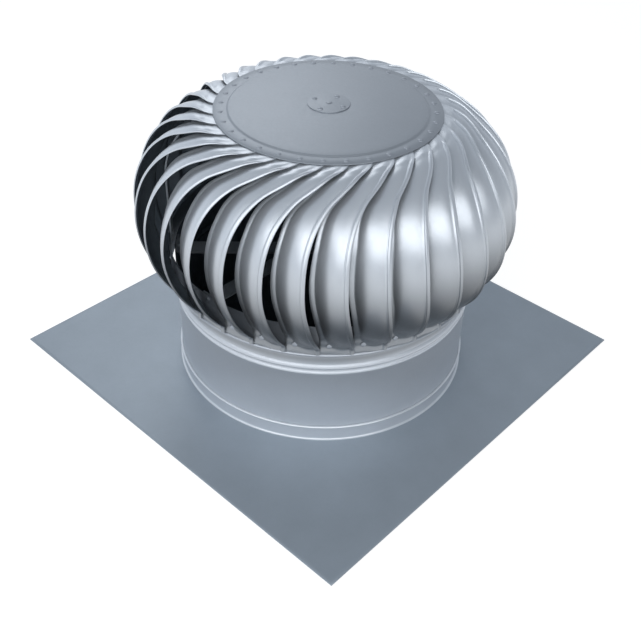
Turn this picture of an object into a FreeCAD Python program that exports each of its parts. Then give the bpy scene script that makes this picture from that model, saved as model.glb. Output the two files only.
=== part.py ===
"""Roof turbine ventilator: a vaned dome that spins on a fixed shaft over a round throat.

Millimetres. +Z is up. The origin is the middle of the base plate's underside.
"""
import FreeCAD, Part
import math
import os
import re
import Sketcher

V = FreeCAD.Vector

# Driving sizes
SIZES = {
    # Base plate and the neck round its hole
    "plate_side": 750.0,
    "plate_sheet": 1.2,
    "neck_height": 30.0,
    "neck_clearance": 0.2,
    "neck_bend": 3.0,
    "neck_bend_bulge": 0.88,
    "neck_heel_bulge": 1.23,
    "neck_roll": 1.6,
    "neck_roll_height": 4.0,
    # Throat collar
    "throat_radius": 249.0,
    "collar_sheet": 1.0,
    "collar_height": 222.0,
    "bead_height": 156.5,
    "bead_half": 5.5,
    "bead_proud": 3.5,
    "small_bead_height": 144.5,
    "small_bead_half": 3.5,
    "small_bead_proud": 2.0,
    # Dome: two quarter ellipses, which the proud lips of the vanes lie on
    "dome_centre_radius": 163.3,
    "dome_radius": 308.0,
    "equator_height": 307.5,
    "dome_rise": 155.3,
    "dome_fall": 144.4,
    # Vanes
    "vane_count": 32.0,
    "vane_sheet": 1.0,
    "lip_band": 8.5,
    "lip_band_drop": 1.6,
    "belly_bulge": 5.2,
    "rivet_hole": 2.4,
    "lip_foot_angle": 8.25,
    "foot_standoff": 5.6,
    # Disc on top
    "disc_radius": 176.0,
    "disc_sheet": 1.2,
    "disc_clearance": 0.3,
    "disc_step_radius": 155.0,
    "disc_step_width": 3.0,
    "disc_step_height": 2.0,
    "disc_crown": 4.4,
    "disc_flat_radius": 36.0,
    "rim_rivet_radius": 165.0,
    "rim_rivet_angle": 6.6,
    "cap_radius": 33.0,
    "cap_sheet": 1.5,
    "cap_button_radius": 5.0,
    "cap_button_height": 1.2,
    "cap_rivet_radius": 25.0,
    "cap_rivet_count": 4.0,
    "cap_rivet_angle": 12.0,
    # Skirt ring that the vanes' feet are riveted to
    "skirt_radius": 258.5,
    "skirt_sheet": 1.2,
    "skirt_bottom": 185.5,
    "skirt_top": 243.0,
    "hem_proud": 3.4,
    "hem_height": 6.5,
    "foot_rivet_height": 208.5,
    "foot_rivet_angle": 0.0,
    "foot_rivet_reach": 3.0,
    "seat_gap": 0.3,
    "tail_gap": 0.06,
    # Rivets
    "rivet_shank": 2.3,
    "rivet_head_radius": 4.2,
    "rivet_head_height": 1.8,
    "rivet_head_round": 0.45,
    "rivet_head_flat": 1.0,
    "rivet_tail_radius": 3.6,
    "rivet_tail_height": 1.2,
    # Fixed shaft and the two ball bearings
    "shaft_radius": 7.5,
    "shaft_bottom": 178.0,
    "shaft_top": 467.0,
    "shaft_chamfer": 1.0,
    "bearing_outer_radius": 17.5,
    "bearing_width": 11.0,
    "bearing_fit": 0.03,
    "race_inner_shoulder": 10.2,
    "race_outer_shoulder": 14.8,
    "ball_circle": 12.5,
    "ball_radius": 2.95,
    "ball_clearance": 0.1,
    "ball_count": 8.0,
    "groove_half": 2.0,
    "groove_depth": 0.75,
    "cage_half_width": 0.7,
    "cage_half_height": 4.2,
    "upper_bearing_bottom": 455.3,
    "lower_bearing_bottom": 232.0,
    "housing_wall": 3.0,
    "housing_lip": 2.0,
    "housing_lip_height": 2.0,
    "upper_flange_radius": 33.0,
    "upper_flange_sheet": 2.0,
    "lower_flange_radius": 40.0,
    "lower_flange_sheet": 3.0,
    "stop_collar_radius": 12.0,
    "stop_collar_height": 7.0,
    # Fixed bracket in the throat
    "bracket_arms": 4.0,
    "bracket_angle": 45.0,
    "bracket_width": 30.0,
    "bracket_sheet": 4.0,
    "bracket_gap": 0.8,
    "bracket_height": 203.0,
    "bracket_end": 19.0,
    "bracket_bend_bulge": 1.17,
    "bracket_rivet_height": 215.0,
    "bracket_rivet_spread": 16.0,
    "hub_radius": 18.0,
    "hub_height": 18.0,
    "nut_flats": 22.0,
    "nut_height": 8.0,
    "washer_radius": 15.0,
    "washer_sheet": 2.0,
    # Brace that ties the lower housing to the skirt ring
    "brace_angle": 0.0,
    "brace_width": 26.0,
    "brace_sheet": 3.0,
    "brace_end": 14.0,
    "brace_bend_bulge": 0.88,
    "brace_hub_radius": 42.0,
    "brace_arm_root": 29.4,
    "brace_hub_clearance": 0.5,
    "brace_rivet_height": 236.0,
    "brace_rivet_count": 8.0,
    "brace_arms": 4.0,
    "housing_bolt_circle": 31.0,
    "housing_bolt_angle": 45.0,
    "housing_bolt_count": 4.0,
    "housing_bolt_hole": 2.6,
    "bolt_shank": 2.5,
    "bolt_head_radius": 4.6,
    "bolt_head_height": 3.0,
    "bolt_head_round": 0.7,
    "bolt_head_flat": 1.5,
    "bolt_tail_radius": 4.5,
    "bolt_tail_height": 4.0,
    # Stays that stiffen the dome inside
    "stay_count": 4.0,
    "stay_angle": 45.0,
    "stay_width": 23.0,
    "stay_sheet": 3.0,
    "stay_bottom": 222.0,
    "stay_bend_height": 346.0,
    "stay_shoulder_radius": 205.0,
    "stay_shoulder_height": 447.5,
    "stay_shoulder_bulge": 13.6,
    "stay_inner_across": 1.8,
    "stay_inner_down": 2.4,
    "stay_tip_radius": 172.0,
    "stay_tip_height": 456.5,
    "stay_end_radius": 150.0,
    "stay_end_height": 457.5,
}

# Stations down a vane, from its tab under the disc to its foot on the skirt ring
# polar: degrees on the dome's ellipse, 0 at the equator and 90 at the top
# tilt:  degrees that the section's outward direction is above level
# lean:  degrees that the proud lip is ahead of its own foot, about the axis
# lap:   degrees that the next vane's tucked edge is past this vane's lip, negative where it laps
# tuck:  mm that the tucked edge lies inside the dome
# hem:   mm of flat band along the tucked edge
STATIONS = {
    "tab": {"polar": 92.6, "tilt": 90.0, "lean": 24.6, "lap": -4.8, "tuck": 2.7, "hem": 16.0},
    "rim": {"polar": 84.0, "tilt": 86.0, "lean": 20.4, "lap": -4.4, "tuck": 2.9, "hem": 17.0},
    "crown": {"polar": 71.0, "tilt": 70.0, "lean": 11.3, "lap": -3.6, "tuck": 6.0, "hem": 17.0},
    "shoulder": {"polar": 57.0, "tilt": 55.0, "lean": 2.0, "lap": -1.6, "tuck": 13.0, "hem": 11.0},
    "upper": {"polar": 36.0, "tilt": 34.0, "lean": -3.2, "lap": 0.9, "tuck": 22.0, "hem": 6.0},
    "equator": {"polar": 8.0, "tilt": 7.0, "lean": -4.3, "lap": 1.1, "tuck": 27.0, "hem": 5.0},
    "lower": {"polar": -20.0, "tilt": -12.0, "lean": -2.4, "lap": 1.0, "tuck": 23.0, "hem": 6.0},
    "ankle": {"polar": -31.5, "tilt": -10.0, "lean": -1.2, "lap": 0.7, "tuck": 18.5, "hem": 9.0},
    "cuff": {"polar": -37.0, "tilt": -4.0, "lean": -0.6, "lap": 0.5, "tuck": 16.4, "hem": 16.0},
    "heel": {"polar": -41.5, "tilt": -1.0, "lean": -0.2, "lap": 0.1, "tuck": 10.7, "hem": 20.0},
    "foot": {"polar": -47.5, "tilt": 0.0, "lean": 0.0, "lap": -0.5, "tuck": 3.7, "hem": 21.0},
    "toe": {"polar": -52.3, "tilt": 0.0, "lean": 0.0, "lap": -0.5, "tuck": 3.7, "hem": 21.0},
}
for station, values in STATIONS.items():
    for key, number in values.items():
        SIZES[station + "_" + key] = number

doc = FreeCAD.newDocument("turbine_ventilator")
sheet = doc.addObject("Spreadsheet::Sheet", "sizes")
for row, (name, number) in enumerate(SIZES.items(), start=1):
    sheet.set("A%d" % row, name)
    sheet.set("B%d" % row, str(number))
    sheet.setAlias("B%d" % row, name)
doc.recompute()

parts = []


def size(name):
    """A driving size, read back from the sheet."""
    return float(sheet.get(name))


def value_of(text):
    """The value of a sum of products of sizes and numbers, such as disc_sheet + 2 * seat_gap."""
    total = 0.0
    for sign, term in re.findall(r"([+-]?)([^+-]+)", text.replace(" ", "")):
        product = 1.0
        for factor in term.split("*"):
            product *= size(factor) if factor in SIZES else float(factor)
        total += -product if sign == "-" else product
    return total


def bound(text):
    """The same sum as an expression on the sheet's cells."""
    return re.sub(r"[a-z][a-z_]*", lambda word: "sizes." + word.group(), text)


def origin_plane(body, role):
    """One of the body's own origin planes."""
    return next(item for item in body.Origin.OriginFeatures if item.Role == role)


def new_body(label, several=False):
    """A body for one sub-part; several allows separate solids in it."""
    body = doc.addObject("PartDesign::Body", label)
    body.Label = label
    if several:
        body.AllowCompound = True
    return body


def new_sketch(body, role, name, offset=None):
    """A sketch on one of the body's own origin planes."""
    sketch = body.newObject("Sketcher::SketchObject", name)
    sketch.AttachmentSupport = [(origin_plane(body, role), "")]
    sketch.MapMode = "FlatFace"
    if offset is not None:
        sketch.AttachmentOffset = offset
    return sketch


def arc_between(start, end, sagitta):
    """Arc of a circle from start to end, bulging to the left of that way by sagitta.

    Returns the arc and whether it runs from start to end (True) or back (False).
    """
    chord = end.sub(start)
    half = chord.Length / 2
    left = V(-chord.y, chord.x, 0).normalize()
    radius = (half ** 2 + sagitta ** 2) / (2 * abs(sagitta))
    side = 1 if sagitta > 0 else -1
    centre = start.add(chord * 0.5).add(left * (side * (abs(sagitta) - radius)))
    circle = Part.Circle(centre, V(0, 0, 1), radius)
    first, last = (end, start) if sagitta > 0 else (start, end)
    angle_first = math.atan2(first.y - centre.y, first.x - centre.x)
    angle_last = math.atan2(last.y - centre.y, last.x - centre.x)
    if angle_last < angle_first:
        angle_last += 2 * math.pi
    return Part.ArcOfCircle(circle, angle_first, angle_last), sagitta < 0


def draw_outline(sketch, corners):
    """Draw a closed outline whose corners are bound to the sheet.

    A corner is (x, y) or (x, y, sagitta), each a sum of sizes; the sagitta bulges the edge to
    the next corner to the left of its way.
    """
    points = [V(value_of(corner[0]), value_of(corner[1]), 0) for corner in corners]
    ends = []
    for index, corner in enumerate(corners):
        start = points[index]
        end = points[(index + 1) % len(points)]
        if len(corner) == 3:
            arc, forward = arc_between(start, end, value_of(corner[2]))
            number = sketch.addGeometry(arc, False)
            sketch.addConstraint(Sketcher.Constraint("Radius", number, arc.Radius))
            ends.append((number, 1, 2) if forward else (number, 2, 1))
        else:
            number = sketch.addGeometry(Part.LineSegment(start, end), False)
            ends.append((number, 1, 2))
    for index, (number, first, last) in enumerate(ends):
        following = ends[(index + 1) % len(ends)]
        sketch.addConstraint(Sketcher.Constraint("Coincident", number, last, following[0], following[1]))
    for (number, first, last), corner, point in zip(ends, corners, points):
        for kind, axis, text, number_now in (("DistanceX", -2, corner[0], point.x),
                                             ("DistanceY", -1, corner[1], point.y)):
            if abs(number_now) < 1e-9:
                sketch.addConstraint(Sketcher.Constraint("PointOnObject", number, first, axis))
                continue
            place = sketch.addConstraint(Sketcher.Constraint(kind, -1, 1, number, first, number_now))
            sketch.setExpression("Constraints[%d]" % place, bound(text))


def revolved(label, corners):
    """A turned or spun piece: an outline of (radius, height) corners, once round the Z axis."""
    body = new_body(label)
    sketch = new_sketch(body, "XZ_Plane", label + "_outline")
    draw_outline(sketch, corners)
    turn = body.newObject("PartDesign::Revolution", label + "_turn")
    turn.Profile = sketch
    turn.ReferenceAxis = (sketch, ["V_Axis"])
    turn.Angle = 360
    body.Tip = turn
    parts.append(body)
    return body


def hole_circle(body, name, role, across, along, radius, offset=None):
    """A sketch with one circle, its place and radius bound to the sheet."""
    sketch = new_sketch(body, role, name, offset)
    circle = Part.Circle(V(value_of(across), value_of(along), 0), V(0, 0, 1), value_of(radius))
    number = sketch.addGeometry(circle, False)
    for kind, axis, text in (("DistanceX", -2, across), ("DistanceY", -1, along)):
        now = value_of(text)
        if abs(now) < 1e-9:
            sketch.addConstraint(Sketcher.Constraint("PointOnObject", number, 3, axis))
            continue
        place = sketch.addConstraint(Sketcher.Constraint(kind, -1, 1, number, 3, now))
        sketch.setExpression("Constraints[%d]" % place, bound(text))
    place = sketch.addConstraint(Sketcher.Constraint("Radius", number, value_of(radius)))
    sketch.setExpression("Constraints[%d]" % place, bound(radius))
    return sketch


def cut_through(body, sketch, one_way=False):
    """Cut a sketch through the whole body, both ways or only the way the sketch faces."""
    pocket = body.newObject("PartDesign::Pocket", sketch.Name + "_cut")
    pocket.Profile = sketch
    pocket.Type = "ThroughAll"
    pocket.Midplane = not one_way
    pocket.Reversed = one_way
    body.Tip = pocket
    return pocket


def repeat_round(body, feature, count):
    """Repeat a feature once round the Z axis."""
    pattern = body.newObject("PartDesign::PolarPattern", feature.Name + "_round")
    pattern.Originals = [feature]
    pattern.Axis = (origin_plane(body, "Z_Axis"), [""])
    pattern.Angle = 360
    pattern.setExpression("Occurrences", bound(count))
    body.Tip = pattern
    return pattern


def rotation_z(degrees):
    """Placement turned about the Z axis."""
    return FreeCAD.Placement(V(0, 0, 0), FreeCAD.Rotation(V(0, 0, 1), degrees))


def turned_plane(degrees):
    """Attachment offset that turns the XZ plane's sketch about the Z axis."""
    return FreeCAD.Placement(V(0, 0, 0), FreeCAD.Rotation(V(0, 1, 0), degrees))


def on_dome(polar):
    """Radius and height of the dome's outline: its ellipse, and upright at the vanes' feet."""
    angle = math.radians(polar)
    reach = size("dome_radius") - size("dome_centre_radius")
    rise = size("dome_rise") if polar > 0 else size("dome_fall")
    radius = size("dome_centre_radius") + reach * math.cos(angle)
    height = size("equator_height") + rise * math.sin(angle)
    if polar < 0:
        radius = max(radius, size("skirt_radius") + size("foot_standoff"))
    return radius, height


def section_placement(radius, height, azimuth, tilt):
    """Plane across a vane: x runs round the dome, y runs outward, raised by tilt."""
    turn = math.radians(azimuth)
    raised = math.radians(tilt)
    around = V(-math.sin(turn), math.cos(turn), 0)
    level = V(math.cos(turn), math.sin(turn), 0)
    outward = level * math.cos(raised) + V(0, 0, math.sin(raised))
    normal = around.cross(outward)
    middle = level * radius + V(0, 0, height)
    matrix = FreeCAD.Matrix(around.x, outward.x, normal.x, middle.x,
                            around.y, outward.y, normal.y, middle.y,
                            around.z, outward.z, normal.z, middle.z,
                            0, 0, 0, 1)
    return FreeCAD.Placement(matrix)


def inward(direction):
    """Unit vector towards the inside of the dome, for a way across the vane."""
    return V(direction.y, -direction.x, 0).normalize()


def inner_corner(corner, before, after, depth):
    """The corner of the sheet's inner side, behind a corner of its outer side."""
    middle = (inward(before) + inward(after)).normalize()
    return corner + middle * (depth / middle.dot(inward(before)))


def turned(direction, angle):
    """A flat vector turned anticlockwise by an angle in radians."""
    return FreeCAD.Rotation(V(0, 0, 1), math.degrees(angle)).multVec(direction)


def vane_section(body, station):
    """One section of the vane's sheet: tucked hem, belly, and the lip folded back on itself."""
    radius, height = on_dome(size(station + "_polar"))
    tilt = size(station + "_tilt")
    pitch = 360 / size("vane_count")
    lip_azimuth = size(station + "_lean")
    tucked_azimuth = lip_azimuth - pitch + size(station + "_lap")
    middle_azimuth = (lip_azimuth + tucked_azimuth) / 2
    half_width = radius * math.sin(math.radians(lip_azimuth - middle_azimuth))
    levelness = math.cos(math.radians(tilt))
    thickness = size("vane_sheet")
    tuck = size(station + "_tuck")
    fullness = tuck / size("equator_tuck")

    def at(across, depth):
        drop = (radius - math.sqrt(radius ** 2 - across ** 2)) * levelness
        return V(across, -depth - drop, 0)

    tucked = at(-half_width, tuck)
    hem = at(-half_width + size(station + "_hem"), tuck)
    crease = at(half_width - size("lip_band"), size("lip_band_drop") * fullness)
    lip = at(half_width, 0)
    belly = crease.sub(hem)
    bulge = size("belly_bulge") * fullness
    swing = 2 * math.atan(2 * bulge / belly.Length)
    leaving = turned(belly, swing)
    arriving = turned(belly, -swing)

    hem_way = hem.sub(tucked)
    lip_way = lip.sub(crease)
    inner_tucked = tucked + inward(hem_way) * thickness
    inner_hem = inner_corner(hem, hem_way, leaving, thickness)
    inner_crease = inner_corner(crease, arriving, lip_way, thickness)
    fold_crease = crease + inward(lip_way) * (2 * thickness)
    fold_lip = lip + inward(lip_way) * (2 * thickness)
    belly_top = (hem + crease) * 0.5 - inward(belly) * (bulge - thickness)
    inner_chord = inner_crease.sub(inner_hem)
    inner_bulge = inward(inner_chord).dot((inner_hem + inner_crease) * 0.5 - belly_top)

    sketch = new_sketch(body, "XY_Plane", body.Label + "_" + station,
                        section_placement(radius, height, middle_azimuth, tilt))
    outer_arc = arc_between(hem, crease, bulge)[0]
    inner_arc = arc_between(inner_hem, inner_crease, inner_bulge)[0]
    sketch.addGeometry([
        Part.LineSegment(tucked, hem),
        outer_arc,
        Part.LineSegment(crease, lip),
        Part.LineSegment(lip, fold_lip),
        Part.LineSegment(fold_lip, fold_crease),
        Part.LineSegment(fold_crease, inner_crease),
        inner_arc,
        Part.LineSegment(inner_hem, inner_tucked),
        Part.LineSegment(inner_tucked, tucked),
    ], False)
    return sketch


def vertical_hole(body, name, radius, angle, hole):
    """Cut a hole along Z at a radius and an angle about the axis."""
    sketch = hole_circle(body, name, "XY_Plane", radius, "0", hole, rotation_z(angle))
    return cut_through(body, sketch)


def radial_hole(body, name, height, angle, hole, aside="0"):
    """Cut a hole along a radius, at a height and an angle about the axis."""
    sketch = hole_circle(body, name, "YZ_Plane", aside, height, hole, turned_plane(angle))
    return cut_through(body, sketch, one_way=True)


def first_vane():
    """The pressed vane whose lip's foot is at lip_foot_angle."""
    body = new_body("vane_01")
    sections = [vane_section(body, station) for station in STATIONS]
    loft = body.newObject("PartDesign::AdditiveLoft", "vane_01_sheet")
    loft.Profile = sections[0]
    loft.Sections = sections[1:]
    body.Tip = loft
    pitch = 360 / size("vane_count")
    own = size("rim_rivet_angle") - size("lip_foot_angle") + 2 * pitch
    vertical_hole(body, "vane_01_own_rivet", "rim_rivet_radius", own, "rivet_hole")
    vertical_hole(body, "vane_01_last_rivet", "rim_rivet_radius", own - pitch, "rivet_hole")
    foot = size("foot_rivet_angle") - size("lip_foot_angle")
    radial_hole(body, "vane_01_foot_rivet", "foot_rivet_height", foot, "rivet_hole")
    body.Placement = rotation_z(size("lip_foot_angle"))
    body.setExpression("Placement.Rotation.Angle", "sizes.lip_foot_angle")
    parts.append(body)
    return body


def other_vanes(vane):
    """Copies of the first vane, one pitch apart."""
    for number in range(2, int(size("vane_count")) + 1):
        copy = doc.addObject("Part::Compound", "vane_%02d" % number)
        copy.Label = "vane_%02d" % number
        copy.Links = [vane]
        copy.Placement = rotation_z((number - 1) * 360 / size("vane_count"))
        copy.setExpression("Placement.Rotation.Angle", "%d * 360 / sizes.vane_count" % (number - 1))
        parts.append(copy)


def fasteners(label, kind, seat, back, angle, count, place, upright, asides=(0.0,)):
    """Round-headed fasteners, evenly spaced round the axis.

    seat and back are where the head and the tail bear, along the fastener; place is its radius
    if it stands upright, or its height if it lies along a radius.
    """
    body = new_body(label, several=True)
    half = [
        (seat, kind + "_head_radius", kind + "_head_round"),
        (seat + " + " + kind + "_head_height", kind + "_head_flat"),
        (seat + " + " + kind + "_head_height", ""),
        (back + " - " + kind + "_tail_height", ""),
        (back + " - " + kind + "_tail_height", kind + "_tail_radius"),
        (back, kind + "_tail_radius"),
        (back, kind + "_shank"),
        (seat, kind + "_shank"),
    ]
    turns = []
    for number, aside in enumerate(asides):
        offset = turned_plane(angle)
        offset.Base = offset.Rotation.multVec(V(0, 0, aside))
        sketch = new_sketch(body, "XZ_Plane", "%s_half_%d" % (label, number), offset)
        corners = []
        for along, across, *round_size in half:
            from_axis = place + (" + " + across if across else "")
            corner = (from_axis, along) if upright else (along, from_axis)
            bulge = ["-1 * " + name if upright else name for name in round_size]
            corners.append(corner + tuple(bulge))
        draw_outline(sketch, corners)
        start = V(value_of(place), 0, 0) if upright else V(0, value_of(place), 0)
        axis = Part.LineSegment(start, start + (V(0, 10, 0) if upright else V(10, 0, 0)))
        sketch.addGeometry(axis, True)
        turn = body.newObject("PartDesign::Revolution", "%s_turn_%d" % (label, number))
        turn.Profile = sketch
        turn.ReferenceAxis = (sketch, ["Axis0"])
        turn.Angle = 360
        turns.append(turn)
    pattern = body.newObject("PartDesign::PolarPattern", label + "_round")
    pattern.Originals = turns
    pattern.Axis = (origin_plane(body, "Z_Axis"), [""])
    pattern.Angle = 360
    pattern.setExpression("Occurrences", bound(count))
    body.Tip = pattern
    parts.append(body)
    return body


def round_bar(name, radius, bottom, height):
    """A plain upright cylinder, bound to the sheet."""
    bar = doc.addObject("Part::Cylinder", name)
    bar.setExpression("Radius", bound(radius))
    bar.setExpression("Height", bound(height))
    bar.Placement.Base = V(0, 0, value_of(bottom))
    bar.setExpression("Placement.Base.z", bound(bottom))
    return bar


def bored_group(label, blanks, bore):
    """Several turned or six-sided blanks with the same bore, as separate solids."""
    pieces = []
    for number, blank in enumerate(blanks):
        piece = doc.addObject("Part::Cut", "%s_%d" % (label, number))
        piece.Base = blank
        piece.Tool = bore
        pieces.append(piece)
    group = doc.addObject("Part::Compound", label)
    group.Label = label
    group.Links = pieces
    parts.append(group)
    return group


def hexagon(name, bottom):
    """A nut blank."""
    blank = doc.addObject("Part::Prism", name)
    blank.Polygon = 6
    blank.setExpression("Circumradius", "sizes.nut_flats / (2 * cos(30 deg))")
    blank.setExpression("Height", "sizes.nut_height")
    blank.Placement.Base = V(0, 0, value_of(bottom))
    blank.setExpression("Placement.Base.z", bound(bottom))
    return blank


def flat_pad(body, name, radius, bottom, thickness):
    """A round plate on the axis."""
    sketch = hole_circle(body, name, "XY_Plane", "0", "0", radius,
                         FreeCAD.Placement(V(0, 0, value_of(bottom)), FreeCAD.Rotation()))
    sketch.setExpression("AttachmentOffset.Base.z", bound(bottom))
    pad = body.newObject("PartDesign::Pad", name + "_pad")
    pad.Profile = sketch
    pad.setExpression("Length", bound(thickness))
    body.Tip = pad
    return pad


def side_pad(body, name, corners, width):
    """A bar of even width whose side view is given by (radius, height) corners."""
    sketch = new_sketch(body, "XZ_Plane", name)
    draw_outline(sketch, corners)
    pad = body.newObject("PartDesign::Pad", name + "_pad")
    pad.Profile = sketch
    pad.Midplane = True
    pad.setExpression("Length", bound(width))
    body.Tip = pad
    return pad


def turn_body(body, angle):
    """Turn a finished body about the axis by one of the sizes."""
    body.Placement = rotation_z(size(angle))
    body.setExpression("Placement.Rotation.Angle", bound(angle))


# Heights and radii that several pieces share, as sums of the sizes
NECK_INNER = "throat_radius + collar_sheet + neck_clearance"
NECK_OUTER = NECK_INNER + " + plate_sheet"
COLLAR_OUTER = "throat_radius + collar_sheet"
DISC_RIM_UNDER = "equator_height + dome_rise + disc_clearance"
DISC_STEP_UNDER = DISC_RIM_UNDER + " + disc_step_height"
DISC_FLAT_UNDER = DISC_STEP_UNDER + " + disc_crown"
DISC_FLAT_TOP = DISC_FLAT_UNDER + " + disc_sheet"
CAP_TOP = DISC_FLAT_TOP + " + cap_sheet"
SKIRT_INNER = "skirt_radius - skirt_sheet"
INNER_BAR_REACH = SKIRT_INNER + " - 2 * seat_gap"
LOWER_SHOULDER = "lower_bearing_bottom + bearing_width + seat_gap"
UPPER_SHOULDER = "upper_bearing_bottom + bearing_width + seat_gap"
HUB_BOTTOM = "bracket_height + 0.5 * bracket_sheet - 0.5 * hub_height"
HUB_TOP = "bracket_height + 0.5 * bracket_sheet + 0.5 * hub_height"


def base_flashing():
    """Square base plate with a round neck drawn up from its hole."""
    body = new_body("base_flashing")
    sketch = new_sketch(body, "XY_Plane", "base_flashing_square")
    half = "0.5 * plate_side"
    minus = "-0.5 * plate_side"
    draw_outline(sketch, [(minus, minus), (half, minus), (half, half), (minus, half)])
    pad = body.newObject("PartDesign::Pad", "base_flashing_plate")
    pad.Profile = sketch
    pad.setExpression("Length", "sizes.plate_sheet")
    body.Tip = pad
    hole_edge = NECK_INNER + " + neck_bend + plate_sheet"
    hole = hole_circle(body, "base_flashing_hole", "XY_Plane", "0", "0", hole_edge)
    cut_through(body, hole)
    neck = new_sketch(body, "XZ_Plane", "base_flashing_neck")
    draw_outline(neck, [
        (hole_edge, "0"),
        (hole_edge, "plate_sheet", "neck_bend_bulge"),
        (NECK_OUTER, "plate_sheet + neck_bend"),
        (NECK_OUTER, "neck_height - neck_roll_height", "-1 * neck_roll"),
        (NECK_OUTER, "neck_height"),
        (NECK_INNER, "neck_height"),
        (NECK_INNER, "plate_sheet + neck_bend", "-1 * neck_heel_bulge"),
    ])
    turn = body.newObject("PartDesign::Revolution", "base_flashing_neck_turn")
    turn.Profile = neck
    turn.ReferenceAxis = (neck, ["V_Axis"])
    turn.Angle = 360
    body.Tip = turn
    parts.append(body)


def throat_collar():
    """Round collar with a large and a small bead rolled into it, bored for the bracket."""
    body = revolved("throat_collar", [
        ("throat_radius", "0"),
        (COLLAR_OUTER, "0"),
        (COLLAR_OUTER, "small_bead_height - small_bead_half", "-1 * small_bead_proud"),
        (COLLAR_OUTER, "small_bead_height + small_bead_half"),
        (COLLAR_OUTER, "bead_height - bead_half", "-1 * bead_proud"),
        (COLLAR_OUTER, "bead_height + bead_half"),
        (COLLAR_OUTER, "collar_height"),
        ("throat_radius", "collar_height"),
        ("throat_radius", "bead_height + bead_half", "bead_proud"),
        ("throat_radius", "bead_height - bead_half"),
        ("throat_radius", "small_bead_height + small_bead_half", "small_bead_proud"),
        ("throat_radius", "small_bead_height - small_bead_half"),
    ])
    drill_for_bracket(body)
    turn_body(body, "bracket_angle")


def drill_for_bracket(body):
    """Two rivet holes for each arm of the bracket."""
    for number, aside in enumerate(("0.5 * bracket_rivet_spread", "-0.5 * bracket_rivet_spread")):
        hole = radial_hole(body, "%s_rivet_%d" % (body.Label, number), "bracket_rivet_height", 0,
                           "rivet_hole", aside)
        repeat_round(body, hole, "bracket_arms")


def shaft_bracket():
    """Fixed bracket: flat arms with turned-up ends, and a hub that holds the shaft."""
    body = new_body("shaft_bracket")
    flat_pad(body, "shaft_bracket_hub", "hub_radius", HUB_BOTTOM, "hub_height")
    reach = "throat_radius - bracket_gap"
    arm = side_pad(body, "shaft_bracket_arm", [
        ("0.5 * hub_radius", "bracket_height"),
        (reach + " - bracket_sheet", "bracket_height", "-1 * bracket_bend_bulge"),
        (reach, "bracket_height + bracket_sheet"),
        (reach, "bracket_height + bracket_end"),
        (reach + " - bracket_sheet", "bracket_height + bracket_end"),
        (reach + " - bracket_sheet", "bracket_height + bracket_sheet"),
        ("0.5 * hub_radius", "bracket_height + bracket_sheet"),
    ], "bracket_width")
    repeat_round(body, arm, "bracket_arms")
    bore = hole_circle(body, "shaft_bracket_bore", "XY_Plane", "0", "0",
                       "shaft_radius + 2 * bearing_fit")
    cut_through(body, bore)
    drill_for_bracket(body)
    turn_body(body, "bracket_angle")
    parts.append(body)


def shaft():
    """Fixed shaft, clamped in the bracket's hub by two nuts."""
    revolved("shaft", [
        ("0", "shaft_bottom"),
        ("shaft_radius - shaft_chamfer", "shaft_bottom"),
        ("shaft_radius", "shaft_bottom + shaft_chamfer"),
        ("shaft_radius", "shaft_top - shaft_chamfer"),
        ("shaft_radius - shaft_chamfer", "shaft_top"),
        ("0", "shaft_top"),
    ])


def shaft_hardware():
    """Nuts, washers and stop collars on the shaft."""
    bore = round_bar("shaft_hardware_bore", "shaft_radius + bearing_fit", "0", "2 * shaft_top")
    bored_group("shaft_nuts", [
        hexagon("lower_nut_blank", HUB_BOTTOM + " - washer_sheet - nut_height"),
        hexagon("upper_nut_blank", HUB_TOP + " + washer_sheet"),
    ], bore)
    bored_group("shaft_washers", [
        round_bar("lower_washer_blank", "washer_radius", HUB_BOTTOM + " - washer_sheet", "washer_sheet"),
        round_bar("upper_washer_blank", "washer_radius", HUB_TOP, "washer_sheet"),
    ], bore)
    bored_group("stop_collars", [
        round_bar(name + "_collar_blank", "stop_collar_radius",
                  name + "_bearing_bottom - seat_gap - stop_collar_height", "stop_collar_height")
        for name in ("lower", "upper")
    ], bore)


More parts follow.
